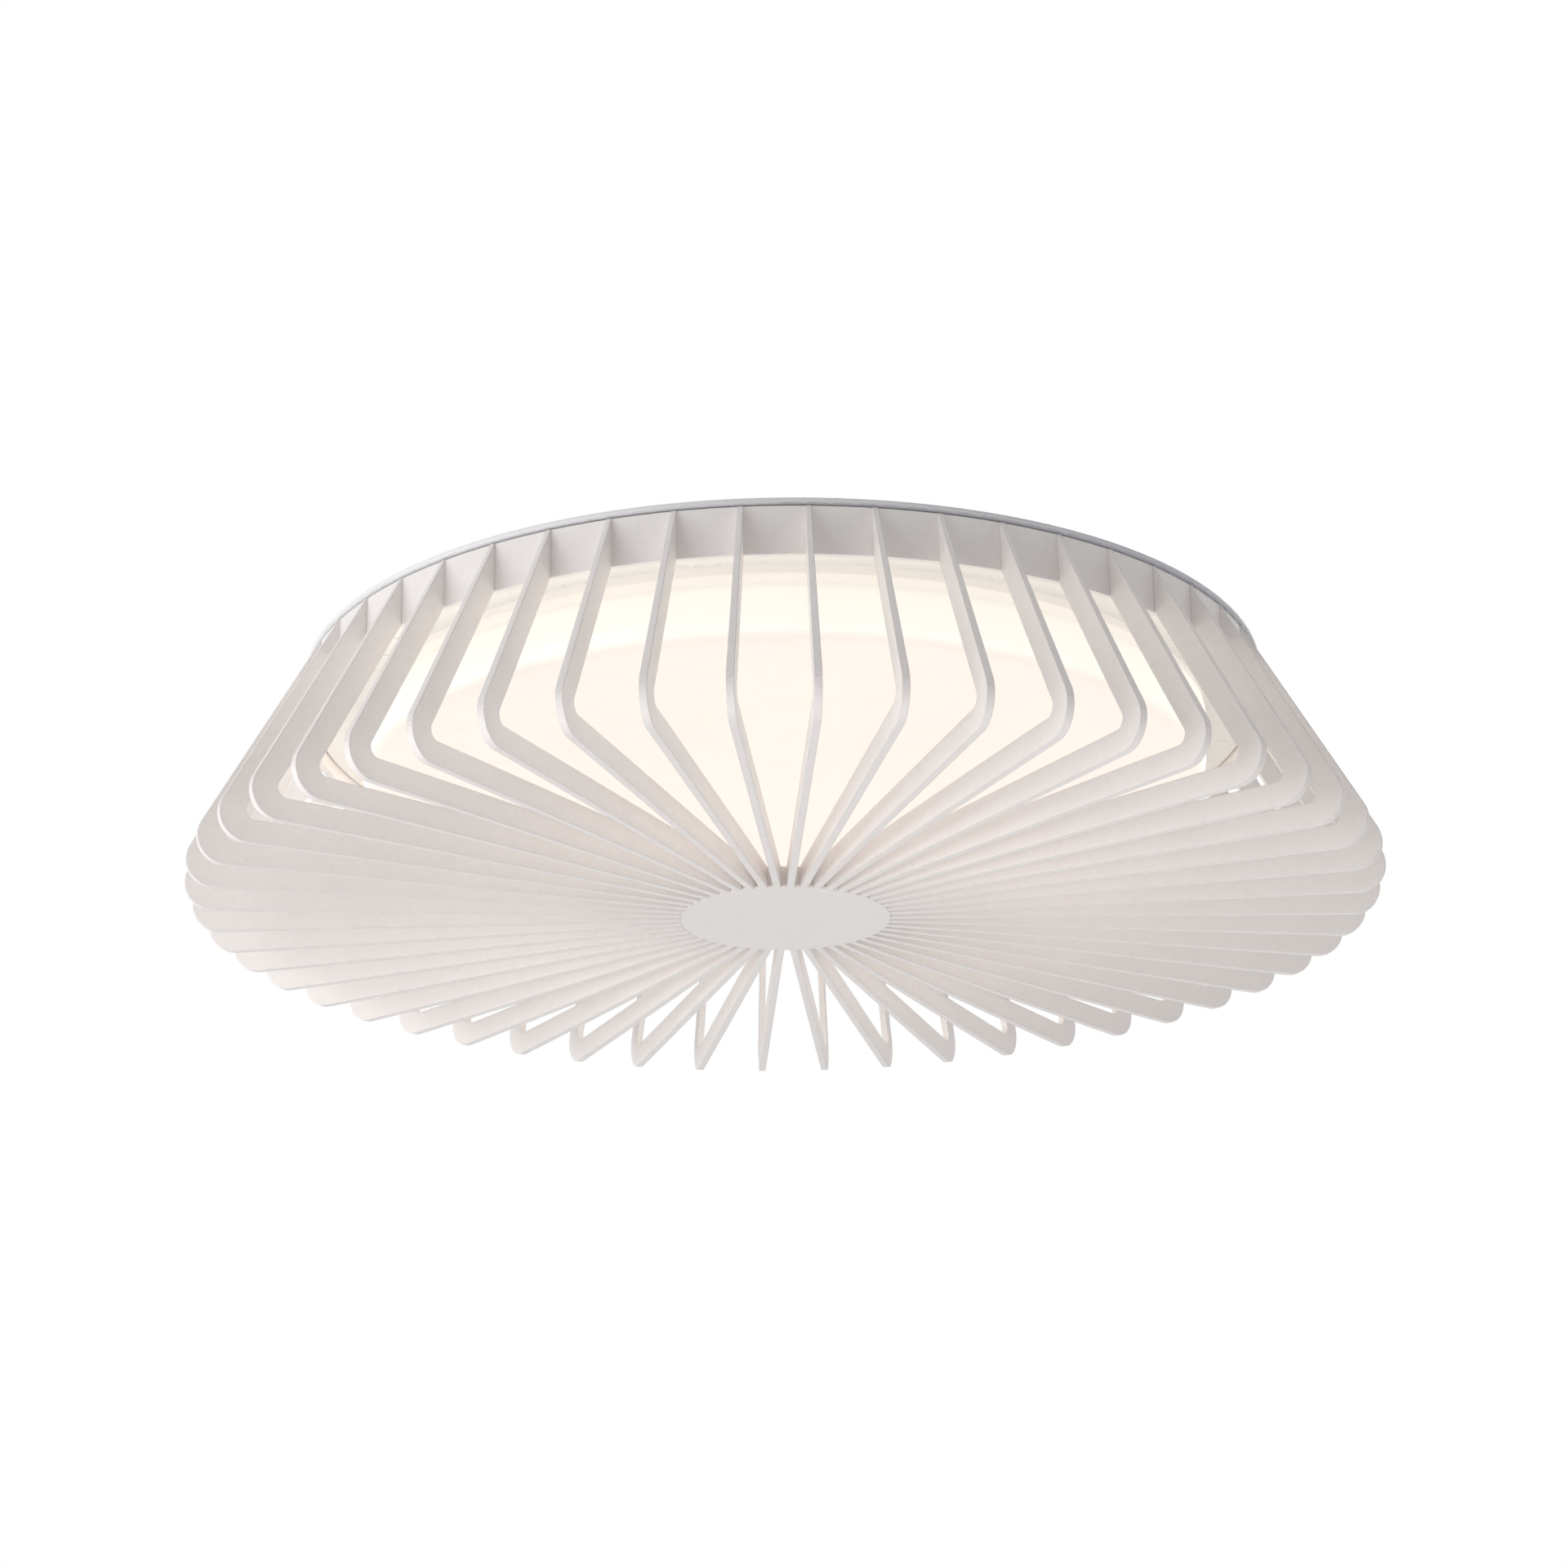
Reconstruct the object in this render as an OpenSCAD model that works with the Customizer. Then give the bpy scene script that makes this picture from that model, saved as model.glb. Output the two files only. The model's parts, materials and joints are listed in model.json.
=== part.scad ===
// Round ceiling light. A shallow steel pan hangs from a crossbar on the ceiling and carries a
// ring of light points, an opal drum diffuser that twists off, and a cage of slim upright ribs
// that run down and out from a band, turn at a rounded shoulder and run in to a small hub.
// Millimetres. The ceiling is the plane z = 0, everything hangs below it, and -Y is the front.

/* [Cage] */
// Outer diameter of the band at the top of the cage
band_d = 405.8; // [396:0.2:430]
// Height of the band
band_h = 19.8; // [17:0.1:24]
// Wall of the band
band_wall = 3; // [2:0.1:4]
// Height of the cage, from the band's top edge to the lowest point of the ribs
cage_h = 100.5; // [90:0.5:130]
// Slope of the ribs' legs, in degrees from upright
leg_slope = 28.7; // [20:0.1:34]
// Radius of the shoulder on its outside
shoulder_r = 11.7; // [8:0.1:16]
// Radius of the shoulder on its inside
shoulder_inner_r = 4; // [2:0.1:7]
// Number of ribs
rib_count = 50; // [30:1:54]
// Thickness of a rib from the shoulder to the hub
rib_t = 3; // [2:0.1:3.4]
// Thickness of a rib at the band's top edge
rib_top_t = 2.1; // [1.6:0.1:3]
// How far a rib stands out from the band at the band's top edge
rib_stand = 0.2; // [0.2:0.1:2]
// Height of a rib along the underside
spoke_h = 9.3; // [7:0.1:12]
// Height of the joint between the two halves of a rib, above the lowest point
joint_h = 13.4; // [12:0.1:15]
// Angle of the first rib, to the right of the front
rib_turn = 2.9; // [0:0.1:7]
// Diameter of the peg that joins the two halves of a rib
peg_d = 1.4; // [1:0.1:1.6]
// Length of the peg
peg_len = 4; // [2:0.5:6]

/* [Hub] */
// Diameter of the hub's disc
hub_d = 88.2; // [80:0.2:100]
// Thickness of the disc
hub_disc_t = 1.2; // [1:0.1:2]
// How far the disc stands out past the hub's wall
hub_lip = 1; // [0.4:0.1:2]
// Wall of the hub
hub_wall = 2; // [1.5:0.1:3]
// How far the hub's disc lies above the lowest point of the ribs
hub_rise = 1.5; // [0:0.1:4]

/* [Pan] */
// How far the pan's rolled rim stands out past the band
rim_lip = 0.7; // [0.2:0.1:3]
// Height of the rim
rim_h = 2.3; // [2.1:0.1:4]
// Gap between the rim and the band's top edge
rim_gap = 0.6; // [0.3:0.1:1.2]
// Radius of the rim's rolled lower edge
rim_r = 1.6; // [1.4:0.1:2]
// Depth of the pan, from the ceiling to its lower face
pan_depth = 16.8; // [14:0.1:19]
// Thickness of the sheet
sheet_t = 1; // [0.8:0.1:1.2]
// Gap between the pan's skirt and the band
skirt_gap = 0.8; // [0.6:0.1:3]
// Gap on each side of the foam seal in the rim
seal_play = 0.2; // [0.1:0.1:0.6]

/* [Cage hooks] */
// Number of hooks inside the band
hook_count = 4; // [3:1:6]
// Width of a hook, in degrees
hook_width = 5; // [4:0.5:6]
// Thickness of a hook
hook_t = 2.4; // [2:0.1:3]
// How far a hook reaches in past the skirt's sheet
hook_reach = 1; // [0.6:0.1:2]
// Depth of a hook's top below the ceiling
hook_drop = 7.6; // [7:0.1:9]
// Turn that frees the cage, in degrees
cage_turn = 9; // [8:0.5:11]
// Angle of the first hook
hook_start = 36; // [30:1:60]

/* [Crossbar] */
// Length of the crossbar's flat top
bar_len = 116; // [108:1:118]
// Width of the crossbar
bar_w = 30; // [20:1:34]
// Thickness of the crossbar's strip
bar_t = 1.5; // [1.2:0.1:2]
// Distance between the two ceiling slots
slot_spacing = 72; // [66:1:76]
// Length of a ceiling slot
slot_len = 24; // [16:1:28]
// Width of a ceiling slot
slot_w = 5; // [4.5:0.1:6]
// Distance between the two screws that hold the pan
pan_screw_spacing = 140; // [138:1:144]
// Length of the crossbar's feet
foot_len = 20; // [18:1:22]

/* [Diffuser] */
// Diameter of the diffuser's drum
diffuser_d = 358.4; // [350:0.2:370]
// Wall of the diffuser
diffuser_wall = 2.5; // [2:0.1:3]
// Height of the diffuser
diffuser_h = 25.2; // [22:0.1:34]
// Radius of the diffuser's lower edge
diffuser_edge_r = 8; // [4:0.5:10]
// Height of the diffuser's upper lip
lip_h = 4.2; // [3:0.1:6]
// How far the lip stands out past the drum
lip_out = 0.7; // [0.3:0.1:1.2]

/* [Diffuser ring] */
// Height of the ring's outer skirt
ring_h = 3.5; // [3:0.1:7]
// Wall of the ring's outer skirt
ring_wall = 2; // [1.5:0.1:2.5]
// Thickness of the ring's flange
ring_flange_t = 1.5; // [1.2:0.1:2]
// Wall of the ring's neck
neck_wall = 1.8; // [1.4:0.1:2.4]
// Number of catches round the neck
catch_count = 6; // [3:1:8]
// Width of a catch on the neck, in degrees
catch_width = 10; // [6:0.5:12]
// Width of a tab inside the diffuser, in degrees
tab_width = 8; // [5:0.5:9]
// How far the catches and the tabs stand out
catch_out = 2.2; // [1.8:0.1:2.6]
// Thickness of a catch
catch_t = 2; // [1.5:0.1:2.5]
// Thickness of a tab
tab_t = 2.3; // [1.8:0.1:2.6]
// Turn that frees the diffuser, in degrees
diffuser_turn = 14; // [12:0.5:20]

/* [Light board] */
// Inner diameter of the light board
board_inner_d = 156; // [154:1:170]
// Outer diameter of the light board
board_outer_d = 324; // [310:1:330]
// Thickness of the light board
board_t = 1.6; // [1:0.1:2]
// Diameter of the inner circle of light points
inner_circle_d = 200; // [190:1:206]
// Number of light points on the inner circle
inner_circle_count = 16; // [8:1:20]
// Diameter of the outer circle of light points
outer_circle_d = 290; // [284:1:296]
// Number of light points on the outer circle
outer_circle_count = 24; // [12:1:30]
// Diameter of a lens
lens_d = 15; // [12:0.5:17]
// Height of a lens
lens_h = 5.5; // [4:0.1:6]
// Side of a light point's package
chip_w = 3.5; // [2.8:0.1:4]
// Height of a light point's package
chip_h = 0.8; // [0.6:0.1:1.2]

/* [Gear cover] */
// Diameter of the cover over the driver and the terminals
cover_d = 124; // [122:1:126]
// Height of the cover
cover_h = 17; // [16.5:0.1:19]
// Wall of the cover
cover_wall = 1.5; // [1.2:0.1:1.8]

/* [Driver] */
// Length of the driver's circuit board
pcb_len = 76; // [72:1:76]
// Width of the driver's circuit board
pcb_w = 34; // [32:1:34]
// Thickness of the driver's circuit board
pcb_t = 1.6; // [1:0.1:1.8]
// Height of the standoffs
standoff_h = 4; // [3:0.1:4.5]
// Diameter of a standoff
standoff_d = 6; // [5:0.1:6.5]
// Height of the transformer
transformer_h = 9; // [7:0.1:9.2]

/* [Terminals] */
// Spacing of the three poles
pole_pitch = 10; // [9:0.5:11]
// Length of the terminal block along the wires
terminal_len = 16; // [14:0.5:18]
// Height of the terminal block
terminal_h = 13; // [11:0.5:14]
// Outer diameter of a brass clamp
clamp_d = 6.4; // [5.5:0.1:7]
// Bore of a brass clamp
clamp_bore_d = 3.8; // [3:0.1:4]
// Diameter of the cable opening in the grommet
cable_hole_d = 9; // [7:0.5:10]
// Diameter of the wires
wire_d = 2; // [1.6:0.1:2.4]

/* [Hidden] */
$fn = 96;

// Gap between pieces that move past each other
run_gap = 0.3;
// Clearance round a screw in its thread, and of a part in its seat
seat_gap = 0.05;
// Clearance round a screw in a plain hole
hole_gap = 0.2;
// Overlap that joins two shapes of one piece
weld = 0.5;

// Screws: diameter, head diameter, head height
m3 = 3;
m3_head_d = 5.6;
m3_head_h = 2;
m4 = 4;
m4_head_d = 8;
m4_head_h = 2.6;
screw_grip = 5;

// Driver
pcb_y = -27;
pcb_hole_inset = 4;
transformer_len = 18;
transformer_w = 16;
transformer_x = 9.5;
core_t = 4;
capacitor_d = 8;
capacitor_len = 13;
capacitor_x = [-19, 25.5];
choke_d = 11;
choke_hole_d = 4.5;
choke_h = 6;
choke_x = -6;
connector_len = 8;
connector_w = 9;
connector_h = 5;
connector_depth = 5;

// Least room between pieces that lie side by side, and over a piece under the gear cover
side_room = 1.5;
cover_room = 0.5;
// Least and usual gap between the light board and the diffuser's ring
board_play = 0.5;
board_gap = 2.8;
// Room round a screw in the diffuser's ring
ring_screw_room = m3_head_d / 2 + 1.2;
cover_ear_w = 9;
cover_ear_t = 2;
cover_ear_turn = 45;

// Circles from the middle outwards. Each takes its own size, or what the pieces inside it need
cover_r = max(cover_d / 2, norm([pcb_len / 2, pcb_w / 2 - pcb_y]) + cover_wall + cover_room);
cover_screw_r = cover_r + m3_head_d / 2 + 1.4;
pan_screw_x = max(pan_screw_spacing / 2, cover_r + m4_head_d / 2 + side_room);
board_inner_r = max(
    board_inner_d / 2,
    cover_screw_r + cover_ear_w / 2 + side_room,
    pan_screw_x + m4_head_d / 2 + side_room
);
inner_circle_r = max(inner_circle_d / 2, board_inner_r + lens_d / 2 + side_room);
outer_circle_r = max(outer_circle_d / 2, inner_circle_r + lens_d + m3_head_d + 2 * side_room);
board_r = max(board_outer_d / 2, outer_circle_r + lens_d / 2 + side_room);
ring_width = 2 * ring_screw_room + neck_wall + catch_out + run_gap;
diffuser_r = max(diffuser_d / 2, board_r + board_play + ring_width + diffuser_wall);
band_r = max(band_d / 2, diffuser_r + lip_out + run_gap + band_wall);

// Cage levels and circles
band_inner_r = band_r - band_wall;
cage_top = -(rim_h + rim_gap);
band_bottom = cage_top - band_h;
cage_bottom = cage_top - cage_h;
hub_r = hub_d / 2;
hub_wall_r = hub_r - hub_lip;
hub_bottom = cage_bottom + hub_rise;
joint_z = cage_bottom + joint_h;

function unit(v) = v / norm(v);
function half_angle(a, b) = acos(a * b) / 2;
function fillet_reach(a, b, r) = r / tan(half_angle(a, b));
function fillet_centre(p, a, b, r) = p + unit(a + b) * r / sin(half_angle(a, b));

// The rib's outer edge: straight leg, rounded shoulder, straight run to the hub
leg_top = [band_r + rib_stand, cage_top];
corner = [leg_top[0] + cage_h * tan(leg_slope), cage_bottom];
up_leg = unit(leg_top - corner);
to_hub = unit([hub_r, hub_bottom] - corner);
shoulder_centre = fillet_centre(corner, up_leg, to_hub, shoulder_r);
shoulder_reach = fillet_reach(up_leg, to_hub, shoulder_r);
widest_r = shoulder_centre[0] + shoulder_r;

// The rib's inner edge: the outer lines moved down to the band's lower edge and up by the rib's height
leg_drop = band_h + rib_stand / tan(leg_slope);
inner_step = cross([0, leg_drop + spoke_h], to_hub) / cross(up_leg, to_hub);
inner_corner = corner + up_leg * inner_step - [0, leg_drop];
inner_centre = fillet_centre(inner_corner, up_leg, to_hub, shoulder_inner_r);
inner_reach = fillet_reach(up_leg, to_hub, shoulder_inner_r);
rib_depth = leg_drop * sin(leg_slope);
peg_r = widest_r - rib_depth / 2;

// Pan
rim_outer_r = band_r + rim_lip;
skirt_r = band_inner_r - skirt_gap;
floor_under = -pan_depth;
floor_top = floor_under + sheet_t;
rim_seat = -rim_h + sheet_t;
seal_inner_r = skirt_r + seal_play;
seal_outer_r = rim_outer_r - rim_r - seal_play;

// Cage hooks
hook_top = -hook_drop;
hook_bottom = hook_top - hook_t;
hook_step = 360 / hook_count;

// Crossbar
bar_leg_x = bar_len / 2;
foot_end_x = max(bar_leg_x + foot_len, pan_screw_x + m4_head_d / 2);

// Diffuser ring and diffuser
diffuser_inner_r = diffuser_r - diffuser_wall;
ring_bottom = floor_under - ring_h;
catch_r = diffuser_inner_r - run_gap;
neck_r = catch_r - catch_out;
neck_inner_r = neck_r - neck_wall;
ring_screw_r = neck_inner_r - ring_screw_room;
ring_flange_r = min(ring_screw_r - ring_screw_room, board_r + board_gap);
diffuser_top = ring_bottom - run_gap;
diffuser_bottom = diffuser_top - diffuser_h;
tab_depth = 1.2;
tab_top = diffuser_top - tab_depth;
tab_bottom = tab_top - tab_t;
catch_top = tab_bottom - run_gap;
catch_bottom = catch_top - catch_t;
neck_bottom = catch_bottom - 0.6;
catch_step = 360 / catch_count;
stop_width = 2;
stop_r = catch_r - 0.3;
stop_bottom = catch_bottom + 0.4;
stop_play = 0.2;
stop_offset = (tab_width + stop_width) / 2 + stop_play;

// Light board
board_top = floor_under;
board_under = board_top - board_t;
board_screw_count = 6;
board_screw_turn = 15;
board_screw_r = (inner_circle_r + outer_circle_r) / 2;

// Driver levels
pcb_top = floor_under - standoff_h;
pcb_under = pcb_top - pcb_t;
tallest = max(transformer_h, capacitor_d, choke_h, connector_h);

// Gear cover
cover_reach = max(cover_h, max(terminal_h, standoff_h + pcb_t + tallest) + cover_room + cover_wall);
cover_bottom = floor_under - cover_reach;
wire_notch_w = 9;
wire_notch_h = 8.2;

// Terminals
terminal_y = 26;
terminal_w = 3 * pole_pitch;
terminal_under = floor_under - terminal_h;
clamp_z = floor_under - terminal_h / 2;
clamp_len = terminal_len - 2;
clamp_screw_step = 4.5;
clamp_screw_len = 5.2;
pole_x = [-pole_pitch, 0, pole_pitch];

// Cable grommet
grommet_y = 46;
grommet_groove_r = cable_hole_d / 2 + 2;
grommet_flange_r = grommet_groove_r + 2;
grommet_flange_t = 2;

// Earth connection
earth_x = 36;
earth_y = 26;
earth_stud_len = 9;
lug_t = 0.8;
lug_r = 4;
lug_wall = 0.8;
lug_barrel_len = 7;
lug_neck = 2;
nut_af = 7;
nut_h = 3.2;

// Connector on the light board, and the angle that puts it midway between two lenses
board_plug_len = 8;
board_plug_h = 4;
board_plug_inset = 2;
board_plug_x = -(board_inner_r + board_plug_inset + board_plug_len / 2);
inner_circle_start = atan2(pcb_y, board_plug_x) + 180 / inner_circle_count;

// Wires: size, length held in a clamp or a connector, length that leaves it straight
wire_r = wire_d / 2;
wire_sides = 10;
wire_hold = 3;
wire_lead = 3;
output_pitch = 4;
output_z = pcb_under - connector_h / 2;
output_y = [pcb_y - output_pitch / 2, pcb_y + output_pitch / 2];
output_start_x = -pcb_len / 2;
output_end_x = board_plug_x + board_plug_len / 2;
board_plug_z = board_under - board_plug_h / 2;
mains_start_y = terminal_y - clamp_len / 2;
mains_end_y = pcb_y + pcb_w / 2 - connector_len;
mains_x = 24;

function circle_points(count, r, start = 0) =
    [for (i = [0:count - 1]) [r * cos(start + i * 360 / count), r * sin(start + i * 360 / count)]];

white = "#f1efee";
warm_white = "#fdf6ea";
steel = "#b9bcc0";
zinc = "#a9adb1";
brass = "#c9a24a";

board_screw_points = circle_points(board_screw_count, board_screw_r, board_screw_turn);
ring_screw_points = circle_points(catch_count, ring_screw_r, catch_step / 2);
cover_screw_points = circle_points(2, cover_screw_r, cover_ear_turn);
pan_screw_points = [[-pan_screw_x, 0], [pan_screw_x, 0]];
pcb_hole_points = [
    for (sx = [-1, 1], sy = [-1, 1])
        [sx * (pcb_len / 2 - pcb_hole_inset), pcb_y + sy * (pcb_w / 2 - pcb_hole_inset)]
];
terminal_fixing_points = [for (sx = [-1, 1]) [sx * pole_pitch / 2, terminal_y]];
light_points = concat(
    circle_points(inner_circle_count, inner_circle_r, inner_circle_start),
    circle_points(outer_circle_count, outer_circle_r)
);

module at(points, z = 0) {
    for (p = points) translate([p[0], p[1], z]) children();
}

// A cross-headed screw that points up, with the underside of its head at z = 0
module screw(d, len, head_d, head_h) {
    recess_w = head_d / 6;
    recess_len = head_d * 0.6;
    recess_depth = head_h / 2;
    difference() {
        union() {
            translate([0, 0, -weld]) cylinder(d = d - 2 * seat_gap, h = len + weld);
            translate([0, 0, -head_h]) cylinder(d = head_d, h = head_h);
        }
        for (turn = [0, 90])
            rotate([0, 0, turn])
                translate([-recess_len / 2, -recess_w / 2, -head_h - weld])
                    cube([recess_len, recess_w, recess_depth + weld]);
    }
}

// An arc of a ring with a rectangular section, about the angle mid
module ring_arc(mid, width, r_in, r_out, z_low, z_high) {
    rotate([0, 0, mid - width / 2])
        rotate_extrude(angle = width)
            translate([r_in, z_low])
                square([r_out - r_in, z_high - z_low]);
}

function wire_direction(points, i) =
    let (
        last = len(points) - 1,
        before = i == 0 ? [0, 0, 0] : unit(points[i] - points[i - 1]),
        after = i == last ? [0, 0, 0] : unit(points[i + 1] - points[i])
    )
    unit(before + after);

function wire_ring(centre, direction) =
    let (
        side = unit(cross([0, 0, 1], direction)),
        rise = cross(direction, side)
    )
    [for (k = [0:wire_sides - 1])
        centre + wire_r * (side * cos(k * 360 / wire_sides) + rise * sin(k * 360 / wire_sides))];

// A wire swept through a list of corners
module wire(points) {
    last = len(points) - 1;
    rings = [for (i = [0:last]) each wire_ring(points[i], wire_direction(points, i))];
    sides = [
        for (i = [0:last - 1], k = [0:wire_sides - 1])
            let (
                near = i * wire_sides + k,
                next = i * wire_sides + (k + 1) % wire_sides
            )
            each [[near, near + wire_sides, next + wire_sides], [near, next + wire_sides, next]]
    ];
    start_cap = [for (k = [0:wire_sides - 1]) k];
    end_cap = [for (k = [wire_sides - 1:-1:0]) last * wire_sides + k];
    polyhedron(points = rings, faces = concat([start_cap, end_cap], sides));
}

// Crossbar: flat top with the ceiling slots, two legs and two feet that hold the pan
module crossbar() {
    color(zinc)
        difference() {
            union() {
                translate([-bar_leg_x, -bar_w / 2, -bar_t]) cube([bar_len, bar_w, bar_t]);
                for (side = [0, 1]) mirror([side, 0, 0]) {
                    translate([bar_leg_x - bar_t, -bar_w / 2, floor_top]) cube([bar_t, bar_w, -floor_top]);
                    translate([bar_leg_x - bar_t, -bar_w / 2, floor_top])
                        cube([foot_end_x - bar_leg_x + bar_t, bar_w, bar_t]);
                }
            }
            for (side = [-1, 1])
                translate([side * slot_spacing / 2, 0, -bar_t - 1]) linear_extrude(bar_t + 2) ceiling_slot();
            at(pan_screw_points, floor_top - 1) cylinder(d = m4, h = bar_t + 2);
        }
}

module ceiling_slot() {
    half_run = (slot_len - slot_w) / 2;
    square([2 * half_run, slot_w], center = true);
    for (end = [-1, 1]) translate([end * half_run, 0]) circle(d = slot_w);
}

module pan_screws() {
    color(steel) at(pan_screw_points, floor_under) screw(m4, screw_grip, m4_head_d, m4_head_h);
}

// Pan: flat floor, upright skirt, flange and rolled rim, all one sheet
module pan() {
    color(white)
        difference() {
            rotate_extrude($fn = 180) pan_section();
            for (i = [0:hook_count - 1]) hook_slot(hook_start + i * hook_step);
            pan_floor_holes();
        }
}

module pan_section() {
    translate([0, floor_under]) square([skirt_r, sheet_t]);
    translate([skirt_r - sheet_t, floor_under]) square([sheet_t, rim_seat - floor_under]);
    translate([skirt_r - sheet_t, -rim_h]) square([rim_outer_r - rim_r - skirt_r + sheet_t, sheet_t]);
    translate([rim_outer_r - sheet_t, -rim_h + rim_r]) square([sheet_t, rim_h - rim_r]);
    translate([rim_outer_r - rim_r, -rim_h + rim_r])
        intersection() {
            difference() {
                circle(r = rim_r);
                circle(r = rim_r - sheet_t);
            }
            translate([0, -rim_r]) square([rim_r, rim_r]);
        }
}

// Slot in the skirt for one hook: a run for the twist, and a way down at its far end
module hook_slot(mid) {
    slack = 1;
    exit_slack = 0.6;
    run = hook_width + cage_turn + slack;
    inner = skirt_r - sheet_t - weld;
    outer = skirt_r + weld;
    ring_arc(mid + cage_turn / 2, run, inner, outer, hook_bottom - run_gap, hook_top + run_gap);
    ring_arc(mid + cage_turn, hook_width + exit_slack, inner - weld, outer + weld,
        floor_under - weld, hook_bottom);
}

module pan_floor_holes() {
    low = floor_under - 1;
    deep = sheet_t + 2;
    at(pan_screw_points, low) cylinder(d = m4 + 2 * hole_gap, h = deep);
    at(concat(board_screw_points, ring_screw_points, cover_screw_points, terminal_fixing_points), low)
        cylinder(d = m3, h = deep);
    at(pcb_hole_points, low) cylinder(d = m3, h = deep);
    translate([0, grommet_y, low]) cylinder(r = grommet_groove_r, h = deep);
    translate([earth_x, earth_y, low]) cylinder(d = m4, h = deep);
}

// Foam seal that lies in the rim and closes it against the ceiling
module rim_seal() {
    color("#5b5c5e")
        rotate_extrude($fn = 180)
            translate([seal_inner_r, rim_seat])
                square([seal_outer_r - seal_inner_r, -rim_seat]);
}

module cable_grommet() {
    color("#2f3032")
        translate([0, grommet_y, 0])
            rotate_extrude()
                difference() {
                    union() {
                        translate([0, floor_under - grommet_flange_t])
                            square([grommet_groove_r, 2 * grommet_flange_t + sheet_t]);
                        translate([0, floor_top]) square([grommet_flange_r, grommet_flange_t]);
                        translate([0, floor_under - grommet_flange_t])
                            square([grommet_flange_r, grommet_flange_t]);
                    }
                    translate([0, floor_under - grommet_flange_t - 1])
                        square([cable_hole_d / 2, 2 * grommet_flange_t + sheet_t + 2]);
                }
}

// Terminal block: one moulding with three wells for the brass clamps
module terminal_block() {
    color(white)
        difference() {
            translate([-terminal_w / 2, terminal_y - terminal_len / 2, terminal_under])
                cube([terminal_w, terminal_len, terminal_h]);
            for (x = pole_x) {
                translate([x, terminal_y + terminal_len / 2 + 1, clamp_z])
                    rotate([90, 0, 0])
                        cylinder(d = clamp_d + 2 * seat_gap, h = terminal_len + 2);
                for (side = [-1, 1])
                    translate([x, terminal_y + side * clamp_screw_step, terminal_under - 1])
                        cylinder(d = m3 + 2 * hole_gap, h = clamp_z - terminal_under + 1);
            }
            at(terminal_fixing_points, terminal_under - 1) cylinder(d = m3, h = terminal_h + 2);
            at(terminal_fixing_points, terminal_under - 1)
                cylinder(d = m3_head_d + 2 * hole_gap, h = m3_head_h + 1);
        }
}

module terminal_clamps() {
    color(brass)
        for (x = pole_x)
            difference() {
                translate([x, terminal_y + clamp_len / 2, clamp_z])
                    rotate([90, 0, 0])
                        difference() {
                            cylinder(d = clamp_d, h = clamp_len);
                            translate([0, 0, -1]) cylinder(d = clamp_bore_d, h = clamp_len + 2);
                        }
                for (side = [-1, 1])
                    translate([x, terminal_y + side * clamp_screw_step, clamp_z - clamp_d])
                        cylinder(d = m3, h = clamp_d);
            }
}

// Grub screws that press the wires against the clamps
module terminal_screws() {
    tip = clamp_z - wire_r - seat_gap;
    slot_cut = 0.8;
    color(steel)
        for (x = pole_x, side = [-1, 1])
            translate([x, terminal_y + side * clamp_screw_step, tip - clamp_screw_len])
                difference() {
                    cylinder(d = m3 - 2 * seat_gap, h = clamp_screw_len);
                    translate([-m3, -slot_cut / 2, -1]) cube([2 * m3, slot_cut, 2]);
                }
}

module terminal_fixing_screws() {
    head_seat = terminal_under + m3_head_h;
    color(steel)
        at(terminal_fixing_points, head_seat)
            screw(m3, floor_top - head_seat + 1, m3_head_d, m3_head_h);
}

// Earth connection: a stud through the floor, the wire's lug and a nut under it
module earth_stud() {
    color(steel)
        translate([earth_x, earth_y, 0]) {
            translate([0, 0, floor_under - earth_stud_len])
                cylinder(d = m4 - 2 * seat_gap, h = earth_stud_len + sheet_t + weld);
            translate([0, 0, floor_top]) cylinder(d = m4_head_d, h = m4_head_h);
        }
}

module earth_lug() {
    barrel_start = -(lug_r + lug_neck + lug_barrel_len);
    color(brass)
        translate([earth_x, earth_y, floor_under - lug_t])
            difference() {
                union() {
                    cylinder(r = lug_r, h = lug_t);
                    translate([-lug_r - lug_neck - 1, -wire_r, 0]) cube([lug_r, wire_d, lug_t]);
                    translate([barrel_start, 0, -wire_r])
                        rotate([0, 90, 0])
                            cylinder(r = wire_r + lug_wall, h = lug_barrel_len);
                }
                translate([0, 0, -1]) cylinder(d = m4 + 2 * seat_gap, h = lug_t + 2);
                translate([barrel_start - 1, 0, -wire_r])
                    rotate([0, 90, 0])
                        cylinder(r = wire_r + seat_gap, h = lug_barrel_len);
                translate([barrel_start - 1, -lug_r, lug_t])
                    cube([lug_barrel_len + lug_r, 2 * lug_r, 2]);
            }
}

module earth_nut() {
    color(steel)
        translate([earth_x, earth_y, floor_under - lug_t - nut_h])
            difference() {
                cylinder(d = nut_af / cos(30), h = nut_h, $fn = 6);
                translate([0, 0, -1]) cylinder(d = m4, h = nut_h + 2);
            }
}

module earth_wire() {
    lug_end_x = earth_x - lug_r - lug_neck - 1.2;
    lug_elbow_x = lug_end_x - lug_barrel_len + 0.2;
    side_x = pole_pitch * 1.9;
    lug_z = floor_under - lug_t - wire_r;
    color("#7fae3f")
        wire([
            [0, mains_start_y + wire_hold, clamp_z],
            [0, mains_start_y - wire_lead, clamp_z],
            [0, mains_start_y - 2 * wire_lead, lug_z],
            [side_x, mains_start_y - wire_lead - 1, lug_z],
            [lug_elbow_x, earth_y, lug_z],
            [lug_end_x, earth_y, lug_z]
        ]);
}

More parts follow.
